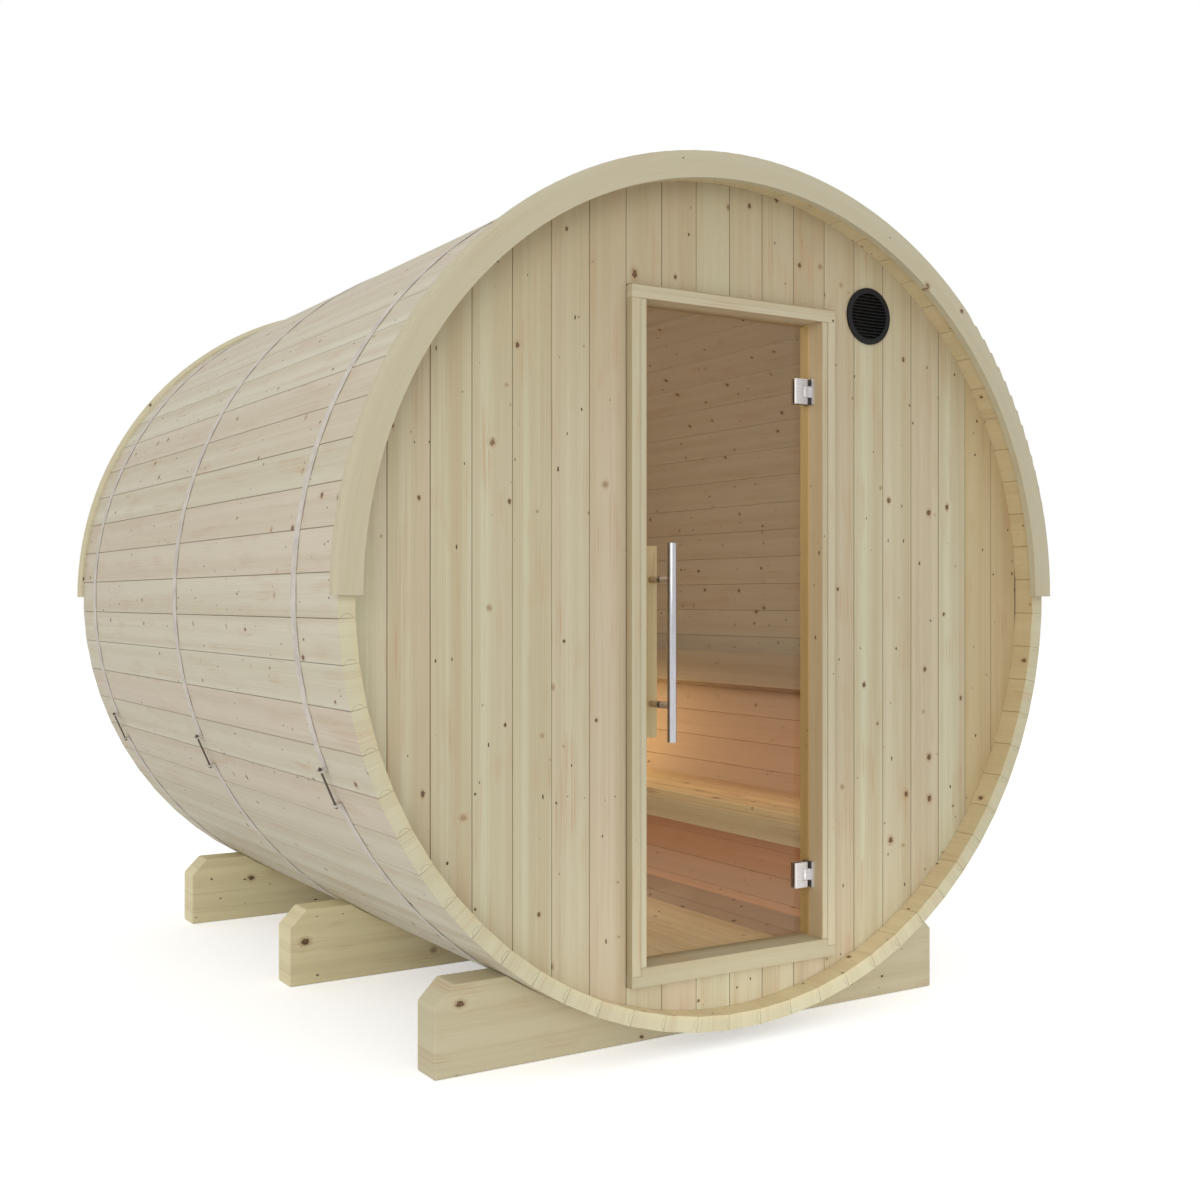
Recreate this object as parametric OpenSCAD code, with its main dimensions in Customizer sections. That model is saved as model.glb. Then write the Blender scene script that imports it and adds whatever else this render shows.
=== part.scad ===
// A barrel sauna: straight staves in a ring, held by steel straps and lying in three saddle cradles.
// Its front end has a framed glass door and a round vent, its back end is closed, and a bench is inside.
// Millimetres. X is to the right, Y to the back and Z up. The origin is on the ground under the middle.

/* [Barrel] */
// Distance from the barrel's axis to the flat outer face of a stave
barrel_r = 1050; // [1000:5:1250]
// Length of the staves
barrel_len = 2286; // [1700:1:3600]
// Number of staves in the ring
stave_count = 68; // [60:4:76]
// Thickness of a stave
stave_t = 38; // [36:1:48]
// Gap between two staves
stave_gap = 0.5; // [0.3:0.1:0.8]
// Chamfer along the edges of a stave
stave_chamfer = 1.5; // [1:0.5:3]
// Width of the round bead on one edge of a stave
bead_w = 28; // [22:1:28]
// Height of the bead over its edge
bead_h = 10; // [7:0.5:11]
// Depth of the groove across the staves that holds an end wall
groove_depth = 8; // [5:1:12]

/* [Arch trims] */
// Thickness of an arch trim, along the barrel
trim_t = 20; // [14:1:30]
// Height of an arch trim over the staves
trim_rise = 19; // [10:1:40]
// Drop of an arch trim below the inner face of the staves
trim_drop = 9; // [2:1:30]
// Rounding of an arch trim's outer edge
trim_round = 11; // [4:1:11]

/* [End walls] */
// Thickness of the end walls
wall_t = 38; // [28:1:48]
// Depth of an end wall's face behind the ends of the staves
wall_recess = 62; // [45:1:160]

/* [Cradles] */
// Height of the barrel over the ground
ground_gap = 39; // [25:1:90]
// Length of a cradle, across the barrel
cradle_len = 1526; // [1300:2:1700]
// Height of a cradle at its ends
cradle_h = 211; // [160:1:280]
// Thickness of a cradle, along the barrel
cradle_t = 92; // [60:1:140]
// Chamfer on the top corners of a cradle
cradle_chamfer = 49; // [20:1:80]
// Distance from the front ends of the staves to the first cradle
cradle_inset = 145; // [100:1:300]
// Distance from the last cradle to the back ends of the staves
cradle_back_inset = 187; // [160:1:300]

/* [Straps] */
// Width of a strap
strap_w = 30; // [20:1:40]
// Thickness of a strap
strap_t = 1.5; // [1:0.1:3]
// Distance from the back of a cradle to its strap
strap_set = 6; // [3:1:30]
// Angle of a strap's screw below the barrel's axis
screw_angle = 23.9; // [10:0.1:35]
// Distance between the bent ends of a strap
screw_span = 86; // [60:1:140]
// Height of the bent ends over the strap
lug_h = 15; // [13:0.5:24]
// Diameter of the tension screw
screw_d = 5; // [5:0.5:8]

/* [Door frame] */
// Distance from the middle of the barrel to the middle of the door
door_x = 9; // [0:1:20]
// Width of the door frame
frame_w = 625; // [540:1:700]
// Distance from the top of the barrel's inside to the door frame
frame_drop = 277; // [160:1:420]
// Depth of the frame's timbers
frame_depth = 90; // [75:1:120]
// Distance that the frame stands in front of the wall
frame_proud = 24; // [10:1:35]
// Height of the frame's foot over the lowest inside face
sill_rise = 88; // [60:1:120]
// Height of the head
head_h = 33; // [25:1:60]
// Height of the sill between the jambs
sill_h = 46; // [30:1:60]
// Height of the sill's ends, which the outer faces of the jambs stand on
sill_end_h = 27; // [15:1:28]
// Width of a jamb's outer face
casing_w = 25; // [15:1:35]
// Width of the step inside it
stop_w = 17; // [10:1:25]
// Depth of that step
stop_set = 1.5; // [1:0.5:6]

/* [Door] */
// Thickness of the glass
glass_t = 8; // [6:1:10]
// Distance from the frame's front to the glass
glass_set = 50; // [35:1:60]
// Gap around the glass
glass_gap = 6; // [5:0.5:10]
// Distance from the jamb to the hinge pins
pin_set = 17; // [16.5:0.5:26]
// Distance from the foot of the glass to the middle of the lower hinge
low_hinge_inset = 154; // [100:1:260]
// Distance from the top of the glass to the middle of the upper hinge
high_hinge_inset = 169; // [100:1:260]
// Height of a hinge
hinge_h = 65; // [54:1:90]
// Width of a hinge's plates on the glass
clamp_w = 39; // [36:1:60]
// Thickness of those plates
clamp_t = 6; // [4:0.5:6]
// Diameter of the hinge pins
pin_d = 6; // [5:0.5:7]

/* [Handles] */
// Diameter of the tube handle
tube_d = 22; // [20:1:30]
// Length of the tube handle
tube_len = 476; // [380:1:600]
// Wall of the tube
tube_wall = 2; // [1:0.5:4]
// Distance from the tube's axis to the glass
tube_set = 50; // [40:1:58]
// Distance from the glass's free edge to the handles
handle_inset = 65; // [50:1:120]
// Height of the handles' middle over the frame's foot
handle_rise = 812; // [700:1:950]
// Distance between the two posts of a handle
post_span = 302; // [220:1:360]
// Diameter of a post
post_d = 16; // [12:1:18]
// Width of the wooden bar inside
bar_w = 40; // [25:1:60]
// Thickness of the wooden bar
bar_t = 24; // [16:1:35]
// Length of the wooden bar
bar_len = 468; // [380:1:600]
// Distance from the glass to the wooden bar
bar_set = 32; // [28:1:45]

/* [Vent] */
// Diameter of the vent
vent_d = 148; // [110:1:170]
// Distance from the inside of the staves to the vent's middle
vent_inset = 146; // [110:1:180]
// Distance from the side of the door frame to the vent's middle
vent_beside = 133; // [110:1:220]
// Width of the vent's flat rim
vent_rim = 12; // [8:1:20]
// Thickness of the rim
vent_t = 5; // [3:0.5:8]
// Depth of the vent's collar in the wall
vent_collar = 30; // [15:1:36]
// Number of louvres
louvre_count = 14; // [8:1:16]

/* [Inside] */
// Height of the floor over the lowest inside face
floor_rise = 71; // [55:1:100]
// Thickness of the floor
floor_t = 28; // [20:1:40]
// Height of the bench over the floor
bench_rise = 319; // [260:1:450]
// Distance from the middle to the front edge of the bench
bench_front_x = 487; // [420:1:560]
// Thickness of the bench's boards
bench_t = 28; // [20:1:40]
// Height of the board under the bench's front edge
bench_front_h = 64; // [40:1:120]
// Angle of the backrest below the barrel's axis
backrest_angle = 15; // [5:0.5:20]
// Height of the backrest
backrest_h = 119; // [80:1:160]
// Thickness of the backrest
backrest_t = 24; // [18:1:35]
// Distance from the backrest to the staves
backrest_set = 29; // [15:1:50]

/* [Hidden] */
// Clearance between pieces that seat on each other, and the overrun of a cut
fit = 0.3;
over = 5;
// Facets of most rounds, of the rings as large as the barrel and of rounded edges
$fn = 96;
ring_fn = 360;
round_fn = 32;

// Barrel: half the angle of a stave, its faces, and where its bead is centred
stave_step = 360 / stave_count;
half_step = stave_step / 2;
inner_r = barrel_r - stave_t;
middle_r = barrel_r - stave_t / 2;
edge_cut = stave_gap / 2 / cos(half_step);
bead_r = (pow(bead_w / 2, 2) + pow(bead_h, 2)) / (2 * bead_h);
bead_sink = bead_r - bead_h;
bead_at = [
    stave_edge(middle_r) - bead_sink * cos(half_step),
    middle_r + bead_sink * sin(half_step)
];
corner_r = norm([stave_edge(barrel_r) - stave_chamfer, barrel_r]);
groove_r = inner_r + groove_depth;
axis_z = ground_gap + barrel_r;
front_y = -barrel_len / 2;
back_y = barrel_len / 2;

// Staves in a group: the groups on the axes are odd, so that a stave lies on each axis
quarter = stave_count / 4;
main_group = 2 * floor(quarter / 4) + 1;
corner_group = quarter - main_group;

// End walls and the room between them
wall_r = groove_r - fit;
front_wall_y = front_y + wall_recess;
back_wall_y = back_y - wall_recess - wall_t;
room_y = front_wall_y + wall_t + fit;
room_len = back_wall_y - fit - room_y;

// Door frame
frame_y = front_wall_y - frame_proud;
frame_foot = sill_rise - inner_r;
frame_top = inner_r - frame_drop;
casing_x = frame_w / 2 - casing_w;
opening_x = casing_x - stop_w;
opening_foot = frame_foot + sill_h;
opening_top = frame_top - head_h;
split_left = door_x - frame_w / 2 - fit;
split_right = door_x + frame_w / 2 + fit;

// Glass, the hinge pins and the hinges on the glass
glass_y = frame_y + glass_set;
glass_left = door_x - opening_x + glass_gap;
glass_right = door_x + opening_x - glass_gap;
glass_foot = opening_foot + glass_gap;
glass_top = opening_top - glass_gap;
pin_x = door_x + opening_x - pin_set;
pin_y = glass_y + glass_t / 2;
hinge_zs = [glass_foot + low_hinge_inset, glass_top - high_hinge_inset];
knuckle_gap = 0.5;
knuckle_d = glass_t + 2 * clamp_t - 2 * knuckle_gap;
knuckle_share = 0.44;
knuckle_h = hinge_h * knuckle_share;
eye_d = 2 * pin_d;
pin_slack = 0.05;
leaf_t = 5;
leaf_w = 40;
clamp_lip = 3.5;
notch_gap = 2.5;
clamp_notch = knuckle_d / 2 + notch_gap;
notch_margin = 1;

// Handles
handle_x = glass_left + handle_inset;
handle_z = frame_foot + handle_rise;
tube_y = glass_y - tube_set;
post_zs = [handle_z - post_span / 2, handle_z + post_span / 2];
stud_d = 8;
stud_hole_d = 9;
bar_round = 5;

// Vent
vent_x = door_x + frame_w / 2 + vent_beside;
vent_z = sqrt(pow(inner_r - vent_inset, 2) - pow(vent_x, 2));
vent_hole_d = vent_d - 2 * vent_rim;
collar_d = vent_hole_d - 2 * fit;
collar_wall = 2;
louvre_d = collar_d - 2 * collar_wall;
louvre_pitch = louvre_d / louvre_count;
louvre_t = 1.5;
louvre_tilt = 40;
louvre_reach = 11;

// Cradles and straps
saddle_r = corner_r + fit;
cradle_ys = [
    front_y + cradle_inset,
    (front_y + cradle_inset + back_y - cradle_back_inset - cradle_t) / 2,
    back_y - cradle_back_inset - cradle_t
];
strap_r = corner_r + fit;
strap_outer_r = strap_r + strap_t;
lug_half_angle = asin(screw_span / 2 / strap_outer_r);
lug_t = 3;
screw_rise = lug_h / 2 + strap_t;
screw_out = 3;
nut_d = 2 * screw_d;
nut_h = 4;
hole_slack = 0.3;

// Inside
floor_z = floor_rise - inner_r;
bench_z = floor_z + bench_rise;
backrest_r = inner_r - backrest_set - backrest_t;
block_count = 4;
block_w = 60;
block_h = 70;
block_margin = 220;

wood = [0.80, 0.72, 0.56];
pale_wood = [0.84, 0.77, 0.62];
inside_wood = [0.74, 0.60, 0.42];
steel = [0.72, 0.73, 0.74];
black = [0.05, 0.05, 0.05];
bronze_glass = [0.55, 0.42, 0.30, 0.4];

// Half width of a stave at a distance from the barrel's axis, short of the gap to its neighbour
function stave_edge(r) = r * tan(half_step) - edge_cut;

// A front view, X to the right and Y up from the barrel's axis, as a slab that runs back from y
module slab(y, depth) {
    translate([0, y + depth, axis_z])
        rotate([90, 0, 0])
            linear_extrude(depth) children();
}

// A front view of a rectangle between two corners
module box_view(low, high) {
    translate(low) square(high - low);
}

// A disc on the barrel's axis that runs back from y
module barrel_disc(y, depth, r) {
    translate([0, y, axis_z])
        rotate([-90, 0, 0]) cylinder(r = r, h = depth, $fn = ring_fn);
}

// A rod along Y from one depth to another, at a place in the front view
module rod_y(x, z, y0, y1, d) {
    translate([x, y0, axis_z + z])
        rotate([-90, 0, 0]) cylinder(d = d, h = y1 - y0);
}

// The section of a stave at the top of the barrel, with its bead to the right and its cove to the left
module stave_view() {
    outer_x = stave_edge(barrel_r);
    outer_low = barrel_r - stave_chamfer;
    inner_x = stave_edge(inner_r);
    inner_high = inner_r + stave_chamfer;
    right = [
        [inner_x - stave_chamfer, inner_r],
        [stave_edge(inner_high), inner_high],
        [stave_edge(outer_low), outer_low],
        [outer_x - stave_chamfer, barrel_r]
    ];
    left = [for (i = [len(right) - 1 : -1 : 0]) [-right[i].x, right[i].y]];
    difference() {
        union() {
            polygon(concat(right, left));
            translate(bead_at) circle(r = bead_r);
        }
        rotate(stave_step) translate(bead_at) circle(r = bead_r + stave_gap);
    }
}

// A run of staves, counted clockwise from the top, grooved across for both end walls
module staves(first, count) {
    color(wood)
        difference() {
            for (i = [first : first + count - 1])
                translate([0, 0, axis_z])
                    rotate([0, i * stave_step, 0])
                        translate([0, 0, -axis_z]) slab(front_y, barrel_len) stave_view();
            for (y = [front_wall_y, back_wall_y])
                barrel_disc(y - fit, wall_t + 2 * fit, groove_r);
        }
}

// The groups start half a main group before each axis, and a corner group follows each of them
module main_staves(quarter_turns) {
    staves(quarter_turns * quarter - (main_group - 1) / 2, main_group);
}

module corner_staves(quarter_turns) {
    staves(quarter_turns * quarter + (main_group + 1) / 2, corner_group);
}

module staves_top() { main_staves(0); }
module staves_upper_right() { corner_staves(0); }
module staves_right() { main_staves(1); }
module staves_lower_right() { corner_staves(1); }
module staves_bottom() { main_staves(2); }
module staves_lower_left() { corner_staves(2); }
module staves_left() { main_staves(3); }
module staves_upper_left() { corner_staves(3); }

// The section of an arch trim, from the ends of the staves outwards, with its outer edge rounded
module trim_view() {
    trim_w = stave_t + trim_drop + trim_rise;
    union() {
        square([trim_w - trim_round, trim_t]);
        square([trim_w, trim_t - trim_round]);
        translate([trim_w - trim_round, trim_t - trim_round]) circle(r = trim_round, $fn = round_fn);
    }
}

// A flat half ring on the ends of the staves, over the barrel's axis
module front_arch_trim() {
    color(pale_wood)
        translate([0, front_y, axis_z])
            rotate([90, 0, 0])
                rotate_extrude(angle = 180, $fn = ring_fn)
                    translate([inner_r - trim_drop, 0]) trim_view();
}

module back_arch_trim() {
    mirror([0, 1, 0]) front_arch_trim();
}

// The part of the front wall between two corners in the front view
module front_wall_piece(low, high) {
    color(wood)
        slab(front_wall_y, wall_t)
            intersection() {
                circle(r = wall_r, $fn = ring_fn);
                box_view(low, high);
            }
}

module front_wall_left() {
    front_wall_piece([-barrel_r, -barrel_r], [split_left, barrel_r]);
}

module front_wall_right() {
    difference() {
        front_wall_piece([split_right, -barrel_r], [barrel_r, barrel_r]);
        rod_y(vent_x, vent_z, front_wall_y - over, front_wall_y + wall_t + over, vent_hole_d);
    }
}

module front_wall_over_door() {
    front_wall_piece([split_left + fit, frame_top + fit], [split_right - fit, barrel_r]);
}

module front_wall_under_door() {
    front_wall_piece([split_left + fit, -barrel_r], [split_right - fit, frame_foot - fit]);
}

module back_wall() {
    color(wood) barrel_disc(back_wall_y, wall_t, wall_r);
}

// A timber of the door frame, its front set back from the frame's, between two corners from the door's middle
module frame_timber(set_back, low, high) {
    color(pale_wood)
        translate([door_x, 0, 0])
            slab(frame_y + set_back, frame_depth - set_back) box_view(low, high);
}

// A jamb to one side of the door: an outer face on the end of the sill, and a step set back inside it
module door_jamb(side) {
    outer = side * frame_w / 2;
    middle = side * casing_x;
    inner = side * opening_x;
    union() {
        frame_timber(
            0,
            [min(outer, middle), frame_foot + sill_end_h], [max(outer, middle), opening_top]
        );
        frame_timber(
            stop_set,
            [min(middle, inner), opening_foot], [max(middle, inner), opening_top]
        );
    }
}

module door_jamb_right() { door_jamb(1); }
module door_jamb_left() { door_jamb(-1); }

module door_head() {
    frame_timber(0, [-frame_w / 2, opening_top], [frame_w / 2, frame_top]);
}

// The sill, lower at its ends than between the outer faces of the jambs
module door_sill() {
    union() {
        frame_timber(0, [-frame_w / 2, frame_foot], [frame_w / 2, frame_foot + sill_end_h]);
        frame_timber(0, [-casing_x, frame_foot + sill_end_h], [casing_x, opening_foot]);
    }
}

// A thick board on the ground, chamfered at its top corners and hollowed to the barrel
module cradle(y) {
    end_x = cradle_len / 2;
    right = [
        [end_x, 0],
        [end_x, cradle_h - cradle_chamfer],
        [end_x - cradle_chamfer, cradle_h]
    ];
    left = [for (i = [len(right) - 1 : -1 : 0]) [-right[i].x, right[i].y]];
    color(wood)
        slab(y, cradle_t)
            difference() {
                translate([0, -axis_z]) polygon(concat(right, left));
                circle(r = saddle_r, $fn = ring_fn);
            }
}

module cradle_front() { cradle(cradle_ys[0]); }
module cradle_middle() { cradle(cradle_ys[1]); }
module cradle_back() { cradle(cradle_ys[2]); }

function strap_y(cradle_y) = cradle_y + cradle_t + strap_set;

// Places a strap's screw end: Z along the screw, X out of the barrel, at the strap's middle
module at_screw(y) {
    translate([0, y + strap_w / 2, axis_z])
        rotate([0, 180 - screw_angle, 0])
            translate([strap_outer_r, 0, 0]) children();
}

// A steel band round the barrel, open at its screw, with both ends bent out
module strap(cradle_y) {
    y = strap_y(cradle_y);
    color(steel)
        difference() {
            union() {
                translate([0, y + strap_w, axis_z])
                    rotate([90, 0, 0])
                        rotate([0, 0, 180 + screw_angle + lug_half_angle])
                            rotate_extrude(angle = 360 - 2 * lug_half_angle, $fn = ring_fn)
                                translate([strap_r, 0]) square([strap_t, strap_w]);
                at_screw(y)
                    for (side = [-1, 1])
                        translate([-strap_t, -strap_w / 2, side * screw_span / 2 - lug_t / 2])
                            cube([strap_t + lug_h, strap_w, lug_t]);
            }
            at_screw(y)
                translate([screw_rise, 0, -screw_span])
                    cylinder(d = screw_d + 2 * hole_slack, h = 2 * screw_span);
        }
}

module strap_front() { strap(cradle_ys[0]); }
module strap_middle() { strap(cradle_ys[1]); }
module strap_back() { strap(cradle_ys[2]); }

// The tension screws, each with a nut outside both bent ends
module strap_screws() {
    nut_z = screw_span / 2 + lug_t / 2;
    screw_len = 2 * (nut_z + nut_h + screw_out);
    color(steel)
        for (cradle_y = cradle_ys)
            at_screw(strap_y(cradle_y))
                translate([screw_rise, 0, 0])
                    union() {
                        translate([0, 0, -screw_len / 2]) cylinder(d = screw_d, h = screw_len);
                        for (z = [nut_z, -nut_z - nut_h])
                            translate([0, 0, z]) cylinder(d = nut_d, h = nut_h, $fn = 6);
                    }
}

// Height of a louvre over the vent's middle
function louvre_rise(i) = (i - (louvre_count - 1) / 2) * louvre_pitch;

// A flat rim on the wall, a collar in its hole and tilted louvres across the collar
module vent_grille() {
    rim_y = front_wall_y - vent_t;
    color(black)
        union() {
            difference() {
                union() {
                    rod_y(vent_x, vent_z, rim_y, front_wall_y, vent_d);
                    rod_y(vent_x, vent_z, rim_y, front_wall_y + vent_collar, collar_d);
                }
                rod_y(vent_x, vent_z, rim_y - over, front_wall_y + vent_collar + over, louvre_d);
            }
            intersection() {
                rod_y(vent_x, vent_z, rim_y, front_wall_y + vent_collar, collar_d - collar_wall);
                for (i = [0 : louvre_count - 1])
                    translate([vent_x, front_wall_y, axis_z + vent_z + louvre_rise(i)])
                        rotate([louvre_tilt, 0, 0])
                            cube([collar_d, louvre_reach, louvre_t], center = true);
            }
        }
}

// A board between the end walls whose far edges follow the staves
module room_board(low, high) {
    slab(room_y, room_len)
        intersection() {
            circle(r = inner_r - fit, $fn = ring_fn);
            box_view(low, high);
        }
}

module floor_boards() {
    color(inside_wood) room_board([-barrel_r, floor_z - floor_t], [barrel_r, floor_z]);
}

module bench_seat() {
    color(inside_wood) room_board([bench_front_x, bench_z - bench_t], [barrel_r, bench_z]);
}

module bench_front() {
    color(inside_wood)
        room_board(
            [bench_front_x, bench_z - bench_t - bench_front_h],
            [bench_front_x + bench_t, bench_z - bench_t]
        );
}

module backrest_board() {
    color(inside_wood)
        slab(room_y, room_len)
            rotate(-backrest_angle)
                translate([backrest_r, -backrest_h / 2]) square([backrest_t, backrest_h]);
}

// Blocks that hold the backrest off the staves
module backrest_blocks() {
    step = (room_len - 2 * block_margin - block_w) / (block_count - 1);
    color(inside_wood)
        for (i = [0 : block_count - 1])
            slab(room_y + block_margin + i * step, block_w)
                intersection() {
                    circle(r = inner_r - fit, $fn = ring_fn);
                    rotate(-backrest_angle)
                        translate([backrest_r + backrest_t, -block_h / 2])
                            square([stave_t + backrest_set, block_h]);
                }
}

// Places a hinge: its pin along Z, its middle at the origin
module at_hinge(z) {
    translate([pin_x, pin_y, axis_z + z]) children();
}

// The fixed half of each hinge: a leaf on the jamb, a knuckle and the pin
module hinge_leaves() {
    color(steel)
        for (z = hinge_zs)
            at_hinge(z)
                union() {
                    translate([pin_set - leaf_t, -leaf_w / 2, -hinge_h / 2])
                        cube([leaf_t, leaf_w, hinge_h]);
                    translate([0, -knuckle_d / 2, -knuckle_h / 2])
                        cube([pin_set, knuckle_d, knuckle_h]);
                    translate([0, 0, -knuckle_h / 2]) cylinder(d = knuckle_d, h = knuckle_h);
                    translate([0, 0, -hinge_h / 2]) cylinder(d = pin_d, h = hinge_h);
                }
}

// The moving half of each hinge: two plates on the glass, joined by eyes over and under the fixed knuckle
module hinge_clamps() {
    eye_foot = knuckle_h / 2 + knuckle_gap;
    color(steel)
        for (z = hinge_zs)
            at_hinge(z)
                difference() {
                    union() {
                        for (y = [-glass_t / 2 - clamp_t, glass_t / 2])
                            translate([clamp_lip - clamp_w, y, -hinge_h / 2])
                                cube([clamp_w, clamp_t, hinge_h]);
                        for (foot = [eye_foot, -hinge_h / 2])
                            translate([0, 0, foot]) cylinder(d = eye_d, h = hinge_h / 2 - eye_foot);
                    }
                    translate([-clamp_notch, -glass_t / 2 - clamp_t - over, -eye_foot])
                        cube([clamp_notch + knuckle_d, glass_t + 2 * (clamp_t + over), 2 * eye_foot]);
                    translate([0, 0, -hinge_h])
                        cylinder(d = pin_d + 2 * pin_slack, h = 2 * hinge_h);
                }
}

// One sheet of glass, notched at the hinges and drilled for the handles
module door_glass() {
    color(bronze_glass)
        difference() {
            slab(glass_y, glass_t) box_view([glass_left, glass_foot], [glass_right, glass_top]);
            for (z = hinge_zs)
                slab(glass_y - over, glass_t + 2 * over)
                    box_view(
                        [pin_x - clamp_notch, z - hinge_h / 2 - notch_margin],
                        [door_x + opening_x, z + hinge_h / 2 + notch_margin]
                    );
            for (z = post_zs)
                rod_y(handle_x, z, glass_y - over, glass_y + glass_t + over, stud_hole_d);
        }
}

// A closed steel tube in front of the glass
module handle_tube() {
    color(steel)
        translate([handle_x, tube_y, axis_z + handle_z])
            difference() {
                cylinder(d = tube_d, h = tube_len, center = true);
                cylinder(d = tube_d - 2 * tube_wall, h = tube_len - 2 * tube_wall, center = true);
            }
}

// The posts of the tube, hollowed to it, each with a stud through the glass
module handle_posts() {
    color(steel)
        difference() {
            for (z = post_zs)
                union() {
                    rod_y(handle_x, z, tube_y, glass_y, post_d);
                    rod_y(handle_x, z, glass_y - over, glass_y + glass_t, stud_d);
                }
            translate([handle_x, tube_y, axis_z + handle_z])
                cylinder(d = tube_d + 2 * fit, h = tube_len, center = true);
        }
}

// A wooden bar behind the glass, its long edges rounded
module inner_handle_bar() {
    y = glass_y + glass_t + bar_set;
    color(pale_wood)
        translate([handle_x, y + bar_t / 2, axis_z + handle_z])
            linear_extrude(bar_len, center = true)
                union() {
                    square([bar_w - 2 * bar_round, bar_t], center = true);
                    square([bar_w, bar_t - 2 * bar_round], center = true);
                    for (sx = [-1, 1])
                        for (sy = [-1, 1])
                            translate([sx * (bar_w / 2 - bar_round), sy * (bar_t / 2 - bar_round)])
                                circle(r = bar_round, $fn = round_fn);
                }
}

module inner_handle_posts() {
    y = glass_y + glass_t;
    color(steel)
        for (z = post_zs)
            rod_y(handle_x, z, y, y + bar_set, post_d);
}

staves_top();
staves_upper_right();
staves_right();
staves_lower_right();
staves_bottom();
staves_lower_left();
staves_left();
staves_upper_left();
front_arch_trim();
back_arch_trim();
front_wall_left();
front_wall_right();
front_wall_over_door();
front_wall_under_door();
back_wall();
door_jamb_left();
door_jamb_right();
door_head();
door_sill();
cradle_front();
cradle_middle();
cradle_back();
strap_front();
strap_middle();
strap_back();
strap_screws();
vent_grille();
floor_boards();
bench_seat();
bench_front();
backrest_board();
backrest_blocks();
hinge_leaves();
door_glass();
hinge_clamps();
handle_tube();
handle_posts();
inner_handle_bar();
inner_handle_posts();
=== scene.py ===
import math

import bmesh
import bpy
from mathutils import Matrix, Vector


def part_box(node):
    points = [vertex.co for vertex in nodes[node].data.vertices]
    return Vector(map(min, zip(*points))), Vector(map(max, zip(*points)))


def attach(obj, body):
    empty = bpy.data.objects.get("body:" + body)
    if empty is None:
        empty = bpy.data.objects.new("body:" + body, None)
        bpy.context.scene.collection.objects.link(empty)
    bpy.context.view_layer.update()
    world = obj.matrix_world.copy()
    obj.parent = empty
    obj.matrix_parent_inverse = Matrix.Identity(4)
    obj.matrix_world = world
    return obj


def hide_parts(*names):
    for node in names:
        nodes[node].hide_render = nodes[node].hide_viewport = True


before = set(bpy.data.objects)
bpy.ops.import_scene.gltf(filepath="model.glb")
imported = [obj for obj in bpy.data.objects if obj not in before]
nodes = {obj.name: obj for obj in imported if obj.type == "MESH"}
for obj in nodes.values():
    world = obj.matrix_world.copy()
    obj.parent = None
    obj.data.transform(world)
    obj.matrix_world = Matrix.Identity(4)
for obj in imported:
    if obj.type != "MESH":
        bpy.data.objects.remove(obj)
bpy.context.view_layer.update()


# Cradles: three thick spruce boards on edge, which carry the barrel clear of the ground.
# Each is sawn out at the top to the round of the staves, its top corners are cut off,
# and its edges are eased with a plane. The sawn ends show the growth rings.
CRADLES = ("cradle_front", "cradle_middle", "cradle_back")
cradle_ease = 0.004
front_cradle = 8


class Strand:
    """One socket of a finish. Sums on it add Math nodes, and node() adds any other node."""

    def __init__(self, tree, socket=None):
        self.tree = tree
        self.socket = socket

    def node(self, kind, settings, inputs, output=0):
        made = self.tree.nodes.new("ShaderNode" + kind)
        for name, value in settings.items():
            setattr(made, name, value)
        for name, value in inputs.items():
            if isinstance(value, Strand):
                self.tree.links.new(value.socket, made.inputs[name])
            else:
                made.inputs[name].default_value = value
        return Strand(self.tree, made.outputs[output])

    def sum(self, operation, *values):
        return self.node("Math", {"operation": operation}, dict(enumerate(values)))

    def __add__(self, other):
        return self.sum("ADD", self, other)

    def __sub__(self, other):
        return self.sum("SUBTRACT", self, other)

    def __rsub__(self, other):
        return self.sum("SUBTRACT", other, self)

    def __mul__(self, other):
        return self.sum("MULTIPLY", self, other)

    def __truediv__(self, other):
        return self.sum("DIVIDE", self, other)

    def __rtruediv__(self, other):
        return self.sum("DIVIDE", other, self)

    def __pow__(self, other):
        return self.sum("POWER", self, other)

    def __abs__(self):
        return self.sum("ABSOLUTE", self)

    __radd__ = __add__
    __rmul__ = __mul__

    def also(self, output):
        """Another output of the node that this one comes from."""
        return Strand(self.tree, self.socket.node.outputs[output])

    def below(self, limit):
        return self.sum("LESS_THAN", self, limit)

    def floor(self):
        return self.sum("FLOOR", self)

    def length(self, other):
        return (self * self + other * other) ** 0.5

    def rise(self, low, high):
        """0 up to low, 1 from high on, and smooth between them."""
        ends = {"Value": self, "From Min": low, "From Max": high}
        return self.node("MapRange", {"interpolation_type": "SMOOTHSTEP"}, ends)

    def axes(self):
        split = self.node("SeparateXYZ", {}, {0: self}).socket.node
        return [Strand(self.tree, socket) for socket in split.outputs]

    def vector(self, y, z=0.0):
        return self.node("CombineXYZ", {}, {0: self, 1: y, 2: z})

    def noise(self, detail=2.0):
        return self.node("TexNoise", {}, {"Vector": self, "Scale": 1.0, "Detail": detail})

    def blend(self, low, high):
        """The colour low where this is 0 and high where it is 1."""
        inputs = {0: self, 6: low, 7: high}
        return self.node("Mix", {"data_type": "RGBA"}, inputs, output=2)


def tint(red, green, blue):
    """A colour as it shows on a screen, from 0 to 255, as the shader's own linear numbers."""
    shown = [value / 255 for value in (red, green, blue)]
    return [v / 12.92 if v < 0.04045 else ((v + 0.055) / 1.055) ** 2.4 for v in shown] + [1.0]


def new_finish(name):
    """An empty finish, as its material and the place on the piece in metres."""
    material = bpy.data.materials.new(name)
    material.use_nodes = True
    material.node_tree.nodes.clear()
    tree = Strand(material.node_tree)
    return material, tree.node("TexCoord", {}, {}, output="Object")


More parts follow.
